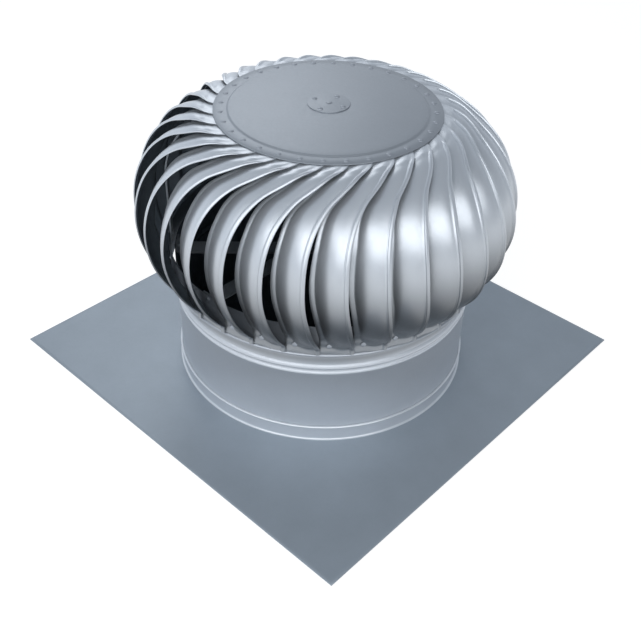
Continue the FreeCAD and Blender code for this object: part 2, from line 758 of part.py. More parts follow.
def bearing(name):
    """Deep-groove ball bearing: two races, a ring of balls and their cage."""
    bottom = name + "_bearing_bottom"
    top = bottom + " + bearing_width"
    middle = bottom + " + 0.5 * bearing_width"
    revolved(name + "_inner_race", [
        ("shaft_radius + bearing_fit", bottom),
        ("race_inner_shoulder", bottom),
        ("race_inner_shoulder", middle + " - groove_half", "groove_depth"),
        ("race_inner_shoulder", middle + " + groove_half"),
        ("race_inner_shoulder", top),
        ("shaft_radius + bearing_fit", top),
    ])
    revolved(name + "_outer_race", [
        ("race_outer_shoulder", bottom),
        ("bearing_outer_radius - bearing_fit", bottom),
        ("bearing_outer_radius - bearing_fit", top),
        ("race_outer_shoulder", top),
        ("race_outer_shoulder", middle + " + groove_half", "groove_depth"),
        ("race_outer_shoulder", middle + " - groove_half"),
    ])
    balls = new_body(name + "_balls", several=True)
    sketch = new_sketch(balls, "XZ_Plane", name + "_balls_half")
    centre = V(value_of("ball_circle"), value_of(middle), 0)
    half = Part.ArcOfCircle(Part.Circle(centre, V(0, 0, 1), size("ball_radius")), -math.pi / 2, math.pi / 2)
    sketch.addGeometry(half, False)
    pole = V(0, size("ball_radius"), 0)
    sketch.addGeometry(Part.LineSegment(centre + pole, centre - pole), False)
    axis = Part.LineSegment(centre - pole, centre + pole)
    sketch.addGeometry(axis, True)
    ball = balls.newObject("PartDesign::Revolution", name + "_ball")
    ball.Profile = sketch
    ball.ReferenceAxis = (sketch, ["Axis0"])
    ball.Angle = 360
    repeat_round(balls, ball, "ball_count")
    parts.append(balls)
    cage = revolved(name + "_cage", [
        ("ball_circle - cage_half_width", middle + " - cage_half_height"),
        ("ball_circle + cage_half_width", middle + " - cage_half_height"),
        ("ball_circle + cage_half_width", middle + " + cage_half_height"),
        ("ball_circle - cage_half_width", middle + " + cage_half_height"),
    ])
    pocket = radial_hole(cage, name + "_cage_pocket", middle, 0, "ball_radius + ball_clearance")
    repeat_round(cage, pocket, "ball_count")


def upper_bearing_housing():
    """Flanged cup under the disc that the dome hangs on the upper bearing by."""
    lip_top = "upper_bearing_bottom - seat_gap"
    body = revolved("upper_bearing_housing", [
        ("race_outer_shoulder", DISC_FLAT_UNDER),
        ("race_outer_shoulder", UPPER_SHOULDER),
        ("bearing_outer_radius", UPPER_SHOULDER),
        ("bearing_outer_radius", lip_top),
        ("bearing_outer_radius - housing_lip", lip_top),
        ("bearing_outer_radius - housing_lip", lip_top + " - housing_lip_height"),
        ("bearing_outer_radius + housing_wall", lip_top + " - housing_lip_height"),
        ("bearing_outer_radius + housing_wall", DISC_FLAT_UNDER + " - upper_flange_sheet"),
        ("upper_flange_radius", DISC_FLAT_UNDER + " - upper_flange_sheet"),
        ("upper_flange_radius", DISC_FLAT_UNDER),
    ])
    drill_for_cap(body)


def drill_for_cap(body):
    """The holes of the rivets round the centre cap."""
    hole = vertical_hole(body, body.Label + "_cap_rivet", "cap_rivet_radius", size("cap_rivet_angle"),
                         "rivet_hole")
    repeat_round(body, hole, "cap_rivet_count")


def lower_bearing_housing():
    """Flanged cup on the brace that steadies the dome on the lower bearing."""
    body = revolved("lower_bearing_housing", [
        ("bearing_outer_radius - housing_lip", LOWER_SHOULDER + " + housing_lip_height"),
        ("bearing_outer_radius - housing_lip", LOWER_SHOULDER),
        ("bearing_outer_radius", LOWER_SHOULDER),
        ("bearing_outer_radius", "lower_bearing_bottom - brace_sheet"),
        ("bearing_outer_radius + housing_wall", "lower_bearing_bottom - brace_sheet"),
        ("bearing_outer_radius + housing_wall", "lower_bearing_bottom"),
        ("lower_flange_radius", "lower_bearing_bottom"),
        ("lower_flange_radius", "lower_bearing_bottom + lower_flange_sheet"),
        ("bearing_outer_radius + housing_wall", "lower_bearing_bottom + lower_flange_sheet"),
        ("bearing_outer_radius + housing_wall", LOWER_SHOULDER + " + housing_lip_height"),
    ])
    drill_for_housing(body)


def drill_for_housing(body):
    """The holes of the bolts that join the lower housing and the brace."""
    hole = vertical_hole(body, body.Label + "_bolt", "housing_bolt_circle", size("housing_bolt_angle"),
                         "housing_bolt_hole")
    repeat_round(body, hole, "housing_bolt_count")


def rotor_brace():
    """Brace with turned-up ends that carries the lower housing across the skirt ring."""
    body = new_body("rotor_brace")
    bottom = "lower_bearing_bottom - brace_sheet"
    flat_pad(body, "rotor_brace_hub", "brace_hub_radius", bottom, "brace_sheet")
    arm = side_pad(body, "rotor_brace_arm", [
        ("brace_arm_root", bottom),
        (INNER_BAR_REACH + " - brace_sheet", bottom, "-1 * brace_bend_bulge"),
        (INNER_BAR_REACH, "lower_bearing_bottom"),
        (INNER_BAR_REACH, bottom + " + brace_end"),
        (INNER_BAR_REACH + " - brace_sheet", bottom + " + brace_end"),
        (INNER_BAR_REACH + " - brace_sheet", "lower_bearing_bottom"),
        ("brace_arm_root", "lower_bearing_bottom"),
    ], "brace_width")
    repeat_round(body, arm, "brace_arms")
    bore = hole_circle(body, "rotor_brace_bore", "XY_Plane", "0", "0",
                       "bearing_outer_radius + housing_wall + brace_hub_clearance")
    cut_through(body, bore)
    drill_for_housing(body)
    hole = radial_hole(body, "rotor_brace_rivet", "brace_rivet_height", 0, "rivet_hole")
    repeat_round(body, hole, "brace_arms")
    turn_body(body, "brace_angle")
    parts.append(body)


def inner_stays():
    """Bent flat bars that stiffen the dome from the skirt ring up to the disc."""
    body = new_body("inner_stays", several=True)
    bar = side_pad(body, "inner_stays_bar", [
        (INNER_BAR_REACH, "stay_bottom"),
        (INNER_BAR_REACH, "stay_bend_height", "-1 * stay_shoulder_bulge"),
        ("stay_shoulder_radius", "stay_shoulder_height"),
        ("stay_tip_radius", "stay_tip_height"),
        ("stay_end_radius", "stay_end_height"),
        ("stay_end_radius", "stay_end_height - stay_sheet"),
        ("stay_tip_radius", "stay_tip_height - stay_sheet"),
        ("stay_shoulder_radius - stay_inner_across", "stay_shoulder_height - stay_inner_down",
         "stay_shoulder_bulge"),
        (INNER_BAR_REACH + " - stay_sheet", "stay_bend_height"),
        (INNER_BAR_REACH + " - stay_sheet", "stay_bottom"),
    ], "stay_width")
    hole = radial_hole(body, "inner_stays_rivet", "brace_rivet_height", 0, "rivet_hole")
    pattern = body.newObject("PartDesign::PolarPattern", "inner_stays_round")
    pattern.Originals = [bar, hole]
    pattern.Axis = (origin_plane(body, "Z_Axis"), [""])
    pattern.Angle = 360
    pattern.setExpression("Occurrences", "sizes.stay_count")
    body.Tip = pattern
    turn_body(body, "stay_angle")
    parts.append(body)


def top_disc():
    """Shallow crowned disc with a flat rim over the vanes' tabs."""
    inside_step = "disc_step_radius - disc_step_width"
    body = revolved("top_disc", [
        ("0", DISC_FLAT_UNDER),
        ("disc_flat_radius", DISC_FLAT_UNDER),
        (inside_step, DISC_STEP_UNDER),
        ("disc_step_radius", DISC_RIM_UNDER),
        ("disc_radius", DISC_RIM_UNDER),
        ("disc_radius", DISC_RIM_UNDER + " + disc_sheet"),
        ("disc_step_radius", DISC_RIM_UNDER + " + disc_sheet"),
        (inside_step, DISC_STEP_UNDER + " + disc_sheet"),
        ("disc_flat_radius", DISC_FLAT_TOP),
        ("0", DISC_FLAT_TOP),
    ])
    hole = vertical_hole(body, "top_disc_rim_rivet", "rim_rivet_radius", size("rim_rivet_angle"),
                         "rivet_hole")
    repeat_round(body, hole, "vane_count")
    drill_for_cap(body)


def centre_cap():
    """Round cap plate with a raised button in its middle."""
    body = revolved("centre_cap", [
        ("0", DISC_FLAT_TOP),
        ("cap_radius", DISC_FLAT_TOP),
        ("cap_radius", CAP_TOP),
        ("cap_button_radius", CAP_TOP),
        ("cap_button_radius - cap_button_height", CAP_TOP + " + cap_button_height"),
        ("0", CAP_TOP + " + cap_button_height"),
    ])
    drill_for_cap(body)


def skirt_ring():
    """Ring with a rolled hem that the vanes' feet are riveted to."""
    body = revolved("skirt_ring", [
        (SKIRT_INNER, "skirt_bottom"),
        ("skirt_radius", "skirt_bottom", "-1 * hem_proud"),
        ("skirt_radius", "skirt_bottom + hem_height"),
        ("skirt_radius", "skirt_top"),
        (SKIRT_INNER, "skirt_top"),
    ])
    foot = radial_hole(body, "skirt_ring_foot_rivet", "foot_rivet_height", size("foot_rivet_angle"),
                       "rivet_hole")
    repeat_round(body, foot, "vane_count")
    brace = radial_hole(body, "skirt_ring_brace_rivet", "brace_rivet_height", size("brace_angle"),
                        "rivet_hole")
    repeat_round(body, brace, "brace_rivet_count")


def all_fasteners():
    """Rivets and bolts; identical ones share a node."""
    fasteners("rim_rivets", "rivet", DISC_RIM_UNDER + " + disc_sheet",
              "equator_height + dome_rise - rim_tuck - vane_sheet - 2 * seat_gap",
              size("rim_rivet_angle"), "vane_count", "rim_rivet_radius", True)
    fasteners("cap_rivets", "rivet", CAP_TOP, DISC_FLAT_UNDER + " - upper_flange_sheet",
              size("cap_rivet_angle"), "cap_rivet_count", "cap_rivet_radius", True)
    fasteners("foot_rivets", "rivet", "skirt_radius + foot_rivet_reach",
              SKIRT_INNER + " - tail_gap",
              size("foot_rivet_angle"), "vane_count", "foot_rivet_height", False)
    fasteners("brace_rivets", "rivet", "skirt_radius", INNER_BAR_REACH + " - brace_sheet",
              size("brace_angle"), "brace_rivet_count", "brace_rivet_height", False)
    fasteners("bracket_rivets", "rivet", COLLAR_OUTER, "throat_radius - bracket_gap - bracket_sheet",
              size("bracket_angle"), "bracket_arms", "bracket_rivet_height", False,
              (value_of("0.5 * bracket_rivet_spread"), value_of("-0.5 * bracket_rivet_spread")))
    fasteners("housing_bolts", "bolt", "lower_bearing_bottom + lower_flange_sheet",
              "lower_bearing_bottom - brace_sheet", size("housing_bolt_angle"), "housing_bolt_count",
              "housing_bolt_circle", True)


def check_and_write():
    """Stop at anything that failed, then write each sub-part's shape."""
    doc.recompute()
    for item in doc.Objects:
        if "Invalid" in item.State or "Error" in item.State:
            raise RuntimeError("%s failed: %s" % (item.Label, item.State))
    for part in parts:
        shape = part.Shape
        if shape.isNull() or not shape.isValid() or not shape.Solids:
            raise RuntimeError("%s has no valid solid" % part.Label)
    os.makedirs("parts", exist_ok=True)
    for part in parts:
        part.Shape.exportStep("parts/%s.step" % part.Label)
        print(part.Label, len(part.Shape.Solids), "solids", round(part.Shape.Volume), "mm3")


base_flashing()
throat_collar()
shaft_bracket()
shaft()
shaft_hardware()
bearing("upper")
bearing("lower")
upper_bearing_housing()
lower_bearing_housing()
rotor_brace()
inner_stays()
top_disc()
centre_cap()
skirt_ring()
all_fasteners()
other_vanes(first_vane())
check_and_write()
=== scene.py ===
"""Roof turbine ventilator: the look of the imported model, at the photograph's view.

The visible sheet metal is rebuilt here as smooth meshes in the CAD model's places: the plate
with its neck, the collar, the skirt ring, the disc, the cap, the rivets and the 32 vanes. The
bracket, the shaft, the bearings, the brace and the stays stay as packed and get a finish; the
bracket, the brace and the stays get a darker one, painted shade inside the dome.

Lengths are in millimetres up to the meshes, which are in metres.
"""
import math

import bpy
from mathutils import Matrix, Vector


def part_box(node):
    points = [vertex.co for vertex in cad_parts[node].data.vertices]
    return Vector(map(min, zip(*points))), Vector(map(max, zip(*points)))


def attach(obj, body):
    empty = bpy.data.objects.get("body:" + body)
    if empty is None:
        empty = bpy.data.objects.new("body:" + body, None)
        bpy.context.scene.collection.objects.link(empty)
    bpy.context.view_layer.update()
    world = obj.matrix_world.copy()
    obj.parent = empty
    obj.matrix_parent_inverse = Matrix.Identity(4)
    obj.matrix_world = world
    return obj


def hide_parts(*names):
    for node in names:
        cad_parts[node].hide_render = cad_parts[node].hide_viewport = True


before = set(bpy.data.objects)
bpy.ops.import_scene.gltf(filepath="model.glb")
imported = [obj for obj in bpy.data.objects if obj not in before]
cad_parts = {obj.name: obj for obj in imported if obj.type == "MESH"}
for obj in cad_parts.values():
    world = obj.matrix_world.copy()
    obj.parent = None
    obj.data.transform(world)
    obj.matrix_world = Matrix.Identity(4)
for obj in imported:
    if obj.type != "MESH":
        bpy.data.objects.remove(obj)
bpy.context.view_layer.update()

MM = 0.001
PHOTO_SIDE = 641


def box_mm(node):
    """Lowest and highest corner of a CAD node, in millimetres."""
    low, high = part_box(node)
    return low / MM, high / MM


# Sizes read from the frame
PLATE_HALF = box_mm("base_flashing")[1].x
NECK_TOP = box_mm("base_flashing")[1].z
COLLAR_TOP = box_mm("throat_collar")[1].z
SKIRT_BOTTOM = box_mm("skirt_ring")[0].z
SKIRT_TOP = box_mm("skirt_ring")[1].z
DISC_RADIUS = box_mm("top_disc")[1].x
DISC_RIM_UNDER = box_mm("top_disc")[0].z
DISC_FLAT_TOP = box_mm("top_disc")[1].z
CAP_RADIUS = box_mm("centre_cap")[1].x
CAP_BUTTON_TOP = box_mm("centre_cap")[1].z

# Sizes that the CAD source also holds or works out
PLATE_SHEET = 1.2
THROAT_RADIUS = 249.0
COLLAR_SHEET = 1.0
NECK_INNER = 250.2
NECK_BEND = 3.0
NECK_ROLL_HEIGHT = 4.0
BEAD_HEIGHT = 156.5
BEAD_HALF = 5.5
BEAD_PROUD = 3.5
SMALL_BEAD_HEIGHT = 144.5
SMALL_BEAD_HALF = 3.5
SMALL_BEAD_PROUD = 2.0
SKIRT_RADIUS = 258.5
SKIRT_SHEET = 1.2
HEM_PROUD = 3.4
HEM_HEIGHT = 6.5
DISC_SHEET = 1.2
RIM_TOP = DISC_RIM_UNDER + DISC_SHEET
STEP_RADIUS = 155.0
STEP_WIDTH = 3.0
STEP_HEIGHT = 2.0
DISC_FLAT_RADIUS = 36.0
CAP_SHEET = 1.5
CAP_BUTTON_RADIUS = 5.0
RIM_RIVET_RADIUS = 165.0
RIM_RIVET_ANGLE = 6.6
FOOT_RIVET_HEIGHT = 208.5
FOOT_RIVET_REACH = 3.0
FOOT_RIVET_ANGLE = 0.0
FOOT_STANDOFF = 5.6
CAP_RIVET_RADIUS = 25.0
CAP_RIVET_ANGLE = 12.0
CAP_RIVET_COUNT = 4
DOME_CENTRE_RADIUS = 163.3
DOME_RADIUS = 308.0
EQUATOR_HEIGHT = 307.5
DOME_RISE = 155.3
DOME_FALL = 144.4
VANE_COUNT = 32
VANE_SHEET = 1.0
LIP_BAND = 8.5
LIP_DROP = 1.6
LIP_FOOT_ANGLE = 8.25
EQUATOR_TUCK = 27.0

# Stations down a vane, the CAD source's with a brow added and the tuck and hem measured again:
# degrees on the dome's ellipse, tilt of the outward direction, lead of the lip, lap of the next
# vane, depth of the tucked edge, width of its hem
STATIONS = {
    "tab": (92.6, 90.0, 24.6, -4.8, 1.9, 16.0),
    "rim": (84.0, 86.0, 20.4, -4.4, 2.4, 16.0),
    "brow": (78.5, 79.0, 16.4, -4.1, 8.4, 9.0),
    "crown": (71.0, 70.0, 11.3, -3.6, 11.0, 8.0),
    "shoulder": (57.0, 55.0, 2.0, -1.6, 16.0, 7.0),
    "upper": (36.0, 34.0, -3.2, 0.9, 22.0, 6.5),
    "equator": (8.0, 7.0, -4.3, 1.1, 27.0, 8.0),
    "lower": (-20.0, -12.0, -2.4, 1.0, 23.0, 8.0),
    "ankle": (-31.5, -10.0, -1.2, 0.7, 18.5, 9.0),
    "cuff": (-37.0, -4.0, -0.6, 0.5, 17.0, 10.0),
    "heel": (-42.0, -1.0, -0.2, 0.1, 10.2, 14.0),
    "foot": (-47.5, 0.0, 0.0, -0.5, 3.7, 21.0),
    "toe": (-52.3, 0.0, 0.0, -0.5, 3.7, 21.0),
}
VANE_ROWS = 110
# The dome's outline rises near the disc, most at this angle on the ellipse
CREST_RISE = 4.0
CREST_POLAR = 73.0
CREST_REACH = 8.0
# The lip's fold starts beyond the tab, at this angle on the ellipse, and the tab's edge bows out there
FOLD_START = 79.5
FOLD_LENGTH = 2.0
TAB_WAVE = 1.5
TAB_WAVE_POLAR = 80.0
TAB_WAVE_REACH = 4.0
# The belly's angles off its chord at the hem and at the lip, and the pull of its control points
BELLY_LEAVING = 9.0
BELLY_ARRIVING = 21.0
BELLY_PULL = 0.36
BELLY_POINTS = 18
# How fast the belly's angles grow with the slope of its chord, because the tab's belly is flat
BELLY_ONSET = 6
# The tucked hem's rounded edge as (across, below), and how far before its end the hem is held flat
HEM_NOSE = ((0.0, 0.5), (0.15, 0.15), (0.5, 0.0))
HEM_HOLD = 0.8
# The folded lip: its riser's height, width and line as shares of (width, height), the height and
# places of its arch, and the angles round its edge
LIP_STEP = 1.6
LIP_RISER = 2.4
RISER_POINTS = ((0.2, 0.1), (0.5, 0.5), (0.8, 0.9), (1.0, 1.0))
LIP_ARCH = 1.3
ARCH_SHARES = (0.35, 0.55, 0.75)
LIP_EDGE_ANGLES = (20, 45, 70, 90)

# Points round a spun piece
ROUND_COUNT = 256
CAP_COUNT = 96
# Broken edges of the sheets, and the rounded ones of the cap and its button
SHEET_EDGE = 0.3
PLATE_EDGE = 0.25
SKIRT_EDGE = 0.4
CAP_EDGE = 0.8
BUTTON_EDGE = 0.6
BUTTON_SLOPE = 1.2
# Where the plate's top face has rings, as shares of the way out from the neck's bend
PLATE_SHARES = (0.97, 0.8, 0.6, 0.4, 0.25, 0.1, 0.03)
# The neck's bend and roll; the painted highlight of the bend starts a margin above the plate's face
BEND_STEPS = 6
NECK_ROLL_PROUD = 2.2
NECK_ROLL_END = 0.1
BEND_HIGHLIGHT_MARGIN = 0.05
# Beads, roll and hem: a power under 1 fills their round section out
BULGE_POWER = 0.8
BULGE_STEPS = 10
HEM_STEPS = 14
HEM_END = 0.2
# Points on a rounded corner, and the most of a side that it takes
CORNER_STEPS = 4
CORNER_SHARE = 0.45
# The disc's step starts to rise outside its radius, and the rim is flat outside that
STEP_LEAD = 1.0
STEP_FLAT = 4.0
STEP_POINTS = 8
CROWN_POINTS = 12
INNER_RING = 20.0
MIDDLE_RADIUS = 0.2
# Rivet heads
RIVET_RADIUS = 4.2
RIVET_HEIGHT = 1.4
CAP_RIVET_HEIGHT = 1.8
RIVET_AROUND = 20
RIVET_ROWS = 6

# Camera, fitted to the photograph: the lengths are shares of the plate's side
CAMERA_FOCAL_PX = 909.0
CAMERA_ELEVATION = 39.07
CAMERA_ROLL = 1.9
CAMERA_DISTANCE = 2.198
CAMERA_AIM_ACROSS = -0.002
CAMERA_AIM_HEIGHT = 0.061
CAMERA_TURN = 42.2
CAMERA_NEAR = 0.05
SENSOR_WIDTH = 36.0

# Lamps: name, azimuth counted from the camera's to its right, elevation, distance and sides in
# metres, watts
LAMPS = [
    ("key", 3, 38, 3.0, (4.8, 2.0), 60),
    ("left", -58, 36, 3.0, (1.6, 1.2), 9),
    ("back_left", -166, 36, 3.0, (1.4, 1.0), 8),
]
# The lamps face the axis at this height in metres
LAMP_AIM_HEIGHT = 0.25
# The world's colour by the sine of the elevation, and how much brighter it is towards an azimuth
WORLD_LEVELS = {
    0.0: (0.70, 0.74, 0.79),
    0.22: (0.66, 0.70, 0.76),
    0.52: (0.44, 0.475, 0.53),
    0.72: (0.285, 0.315, 0.355),
    1.0: (0.27, 0.30, 0.34),
}
WORLD_GAIN = 0.34
WORLD_GAIN_AZIMUTH = -120

# Stage: levels of the floor, half sides and heights in millimetres
FLOOR_GLOW = 0.80
FLOOR_COLOUR = (0.35, 0.35, 0.35)
FLOOR_HALF = 6000.0
FLOOR_HEIGHT = -0.5
# The roof opening is a dark matt sheet: painted shade of the duct under the throat.
OPENING_SHADE_COLOUR = (0.06, 0.075, 0.09)
OPENING_HALF = 330.0
OPENING_HEIGHT = -0.3
MATT_ROUGHNESS = 0.9

# Sheet metal: its clouds of colour, and the fine grain in its gloss and its bump
CLOUD_SCALE = 14.0
CLOUD_DETAIL = 5.0
CLOUD_ROUGHNESS = 0.6
CLOUD_RANGE = (0.25, 0.75)
GRAIN_SCALE = 260.0
GRAIN_DETAIL = 3.0
GRAIN_RANGE = (0.3, 0.7)
GRAIN_GLOSS = 0.04
GRAIN_STRENGTH = 0.12
GRAIN_DEPTH = 0.0002


def finish_piece(name, vertices, faces, body, material, replaced, sharp=50.0, inside=None,
                 inner_faces=()):
    """Make a smooth-shaded piece from points in millimetres, and tie it to its body.

    The inner faces, or without a list the faces that look towards the middle of the dome, get the
    inside material, if there is one: a dark copy of the sheet metal, painted shade.
    """
    mesh = bpy.data.meshes.new(name)
    mesh.from_pydata([Vector(point) * MM for point in vertices], [], faces)
    mesh.validate()
    for polygon in mesh.polygons:
        polygon.use_smooth = True
    mesh.set_sharp_from_angle(angle=math.radians(sharp))
    mesh.materials.append(material)
    # The inside material is a dark copy of the sheet: painted shade of the dome's inside.
    if inside:
        mesh.materials.append(inside)
        middle = Vector((0, 0, EQUATOR_HEIGHT)) * MM
        for polygon in mesh.polygons:
            if inner_faces:
                inner = polygon.index in inner_faces
            else:
                inner = polygon.normal.dot(polygon.center - middle) < 0
            polygon.material_index = int(inner)
    piece = bpy.data.objects.new(name, mesh)
    bpy.context.scene.collection.objects.link(piece)
    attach(piece, body)
    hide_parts(*replaced)
    return piece


def round_corner(before, corner, after, radius):
    """Points that round an outline's corner by a radius, as a quadratic curve."""
    corner = Vector(corner)
    way_in = Vector(before) - corner
    way_out = Vector(after) - corner
    reach = min(radius, CORNER_SHARE * way_in.length, CORNER_SHARE * way_out.length)
    first = corner + way_in.normalized() * reach
    last = corner + way_out.normalized() * reach
    points = []
    for step in range(CORNER_STEPS + 1):
        share = step / CORNER_STEPS
        points.append(first * (1 - share) ** 2 + corner * 2 * share * (1 - share) + last * share ** 2)
    return points


def rounded(outline):
    """A closed outline of (across, up, radius) corners with each corner rounded."""
    points = []
    for index, (across, up, radius) in enumerate(outline):
        before = outline[index - 1]
        after = outline[(index + 1) % len(outline)]
        if radius:
            points += round_corner(before[:2], (across, up), after[:2], radius)
        else:
            points.append(Vector((across, up)))
    return points


def circle_ring(radius, height, count=ROUND_COUNT):
    """Points round the axis at a radius and a height."""
    turn = 2 * math.pi / count
    return [(radius * math.cos(k * turn), radius * math.sin(k * turn), height) for k in range(count)]


def square_ring(half, height):
    """As many points round a square, at the same directions from the axis."""
    points = []
    for k in range(ROUND_COUNT):
        angle = 2 * math.pi * k / ROUND_COUNT
        reach = half / max(abs(math.cos(angle)), abs(math.sin(angle)))
        points.append((reach * math.cos(angle), reach * math.sin(angle), height))
    return points


def closed_loft(rings):
    """Vertices and faces of a solid swept through rings that close on themselves both ways."""
    count = len(rings[0])
    vertices = [point for ring in rings for point in ring]
    faces = []
    for row in range(len(rings)):
        following = (row + 1) % len(rings)
        for k in range(count):
            beside = (k + 1) % count
            faces.append((row * count + k, row * count + beside,
                          following * count + beside, following * count + k))
    return vertices, faces


def lathe(name, outline, body, material, replaced, inside=None, count=ROUND_COUNT):
    """A spun piece from a closed outline of (radius, height) points."""
    vertices, faces = closed_loft([circle_ring(radius, height, count) for radius, height in outline])
    finish_piece(name, vertices, faces, body, material, replaced, inside=inside)


def top_edge(outer, inner, top):
    """The broken upper edge of an upright sheet, from its outer face to its inner face."""
    return [(outer, top - SHEET_EDGE), (outer - SHEET_EDGE, top),
            (inner + SHEET_EDGE, top), (inner, top - SHEET_EDGE)]


def bulge(start, end, proud, steps=BULGE_STEPS):
    """Points of a rolled bead from start to end, standing out to the right of that way."""
    start = Vector(start)
    end = Vector(end)
    along = end - start
    out = Vector((along.y, -along.x)).normalized()
    points = []
    for step in range(1, steps):
        share = step / steps
        rise = proud * math.sin(math.pi * share) ** BULGE_POWER
        points.append(tuple(start + along * share + out * rise))
    return points


# Materials

def node_of(tree, kind, place, inputs=None, **settings):
    """Add a shader node, set its properties, and give its inputs sockets or plain values."""
    node = tree.nodes.new(kind)
    node.location = place
    for key, value in settings.items():
        setattr(node, key, value)
    for key, value in (inputs or {}).items():
        if isinstance(value, bpy.types.NodeSocket):
            tree.links.new(value, node.inputs[key])
        else:
            node.inputs[key].default_value = value
    return node


def worked_out(tree, place, operation, first, second=0.0):
    """The output of a Math node."""
    node = node_of(tree, "ShaderNodeMath", place, {0: first, 1: second}, operation=operation)
    return node.outputs["Value"]


def ranged(tree, place, value, source, target, **settings):
    """The output of a Map Range node that takes the source's range to the target's."""
    inputs = {"Value": value, "From Min": source[0], "From Max": source[1],
              "To Min": target[0], "To Max": target[1]}
    return node_of(tree, "ShaderNodeMapRange", place, inputs, **settings).outputs["Result"]


def sheet_metal(name, colour, roughness, mottle=0.05, metallic=1.0, painted_shade=None):
    """Satin sheet metal: clouded colour, and a fine grain in its gloss and its surface.

    The last argument is a (height, reach, level): around that height in metres the colour is darkened
    down to that level, a painted shade.
    """
    material = bpy.data.materials.new(name)
    material.use_nodes = True
    tree = material.node_tree
    shader = tree.nodes["Principled BSDF"]
    shader.inputs["Metallic"].default_value = metallic
    place = node_of(tree, "ShaderNodeTexCoord", (-1300, 0)).outputs["Object"]

    clouds = node_of(tree, "ShaderNodeTexNoise", (-1050, 250), {
        "Vector": place, "Scale": CLOUD_SCALE, "Detail": CLOUD_DETAIL, "Roughness": CLOUD_ROUGHNESS})
    level = ranged(tree, (-800, 250), clouds.outputs["Fac"], CLOUD_RANGE, (1 - mottle, 1 + mottle))
    # Painted shade: the colour darkens towards the given height.
    if painted_shade:
        height, reach, darkest_shade = painted_shade
        split = node_of(tree, "ShaderNodeSeparateXYZ", (-1050, 500), {"Vector": place})
        above = worked_out(tree, (-950, 650), "SUBTRACT", split.outputs["Z"], height)
        distance = worked_out(tree, (-850, 600), "ABSOLUTE", above)
        fading = ranged(tree, (-800, 500), distance, (0.0, reach), (darkest_shade, 1.0),
                        interpolation_type="SMOOTHSTEP")
        level = worked_out(tree, (-650, 400), "MULTIPLY", level, fading)
    colouring = node_of(tree, "ShaderNodeVectorMath", (-550, 250), {0: colour, "Scale": level},
                        operation="SCALE")
    tree.links.new(colouring.outputs["Vector"], shader.inputs["Base Color"])

    fine = node_of(tree, "ShaderNodeTexNoise", (-1050, -50), {
        "Vector": place, "Scale": GRAIN_SCALE, "Detail": GRAIN_DETAIL})
    gloss = ranged(tree, (-550, -50), fine.outputs["Fac"], GRAIN_RANGE,
                   (roughness - GRAIN_GLOSS, roughness + GRAIN_GLOSS))
    tree.links.new(gloss, shader.inputs["Roughness"])
    bump = node_of(tree, "ShaderNodeBump", (-300, -250), {
        "Height": fine.outputs["Fac"], "Strength": GRAIN_STRENGTH, "Distance": GRAIN_DEPTH})
    tree.links.new(bump.outputs["Normal"], shader.inputs["Normal"])
    return material


# Each metal's colour and roughness; a painted shadow of the skirt darkens a band on the collar, and
# painted shade darkens the vanes low down
GALVANISED = sheet_metal("galvanised", (0.345, 0.395, 0.445), 0.46, mottle=0.05, metallic=0.5)
# The collar's darker band under the skirt's hem is painted shadow.
COLLAR_METAL = sheet_metal("collar_metal", (0.59, 0.63, 0.68), 0.42, mottle=0.03, metallic=0.5,
                           painted_shade=(0.172, 0.014, 0.55))
# A lighter copy of the plate's sheet for the neck's roll and bend: painted highlights.
NECK_HIGHLIGHT_METAL = sheet_metal("neck_highlight_metal", (0.68, 0.72, 0.76), 0.34, mottle=0.03, metallic=0.6)
# The vanes darken towards their lower part: painted shade.
VANE_METAL = sheet_metal("vane_metal", (0.60, 0.64, 0.685), 0.37, mottle=0.02, metallic=0.65,
                         painted_shade=(0.250, 0.130, 0.24))
DISC_METAL = sheet_metal("disc_metal", (0.35, 0.38, 0.415), 0.46, mottle=0.02, metallic=0.7)
SKIRT_METAL = sheet_metal("skirt_metal", (0.39, 0.42, 0.46), 0.36, mottle=0.02, metallic=0.75)
# Dark copies of the sheet metal for the inside faces: painted shade inside the dome.
INNER_SHADE_METAL = sheet_metal("inner_shade_metal", (0.11, 0.135, 0.16), 0.50, mottle=0.10, metallic=0.6)
VANE_INNER_SHADE_METAL = sheet_metal("vane_inner_metal", (0.125, 0.15, 0.175), 0.45, mottle=0.10,
                               metallic=0.5)
RIVET_METAL = sheet_metal("rivet_metal", (0.36, 0.39, 0.43), 0.50, mottle=0.03, metallic=0.7)
# The bars inside the dome are darker than the sheet: painted shade.
BAR_SHADE_METAL = sheet_metal("bar_shade_metal", (0.26, 0.29, 0.32), 0.50, mottle=0.08, metallic=0.6)
SHAFT_METAL = sheet_metal("shaft_metal", (0.55, 0.56, 0.58), 0.25, mottle=0.03)
FASTENER_METAL = sheet_metal("fastener_metal", (0.52, 0.53, 0.54), 0.34, mottle=0.05)
BEARING_METAL = sheet_metal("bearing_metal", (0.70, 0.71, 0.73), 0.12, mottle=0.01)
CAGE_METAL = sheet_metal("cage_metal", (0.68, 0.50, 0.24), 0.30, mottle=0.05)
HOUSING_METAL = sheet_metal("housing_metal", (0.25, 0.26, 0.28), 0.55, mottle=0.10)

KEPT_NODES = {
    BAR_SHADE_METAL: ["shaft_bracket", "rotor_brace", "inner_stays"],
    SHAFT_METAL: ["shaft"],
    FASTENER_METAL: ["shaft_nuts", "shaft_washers", "stop_collars", "housing_bolts"],
    BEARING_METAL: ["upper_inner_race", "upper_outer_race", "upper_balls",
                    "lower_inner_race", "lower_outer_race", "lower_balls"],
    CAGE_METAL: ["upper_cage", "lower_cage"],
    HOUSING_METAL: ["upper_bearing_housing", "lower_bearing_housing"],
    RIVET_METAL: ["bracket_rivets", "brace_rivets"],
}


def finish_kept_nodes():
    """Give the CAD nodes that stay their finish."""
    for material, nodes in KEPT_NODES.items():
        for node in nodes:
            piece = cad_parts[node]
            piece.data.materials.clear()
            piece.data.materials.append(material)


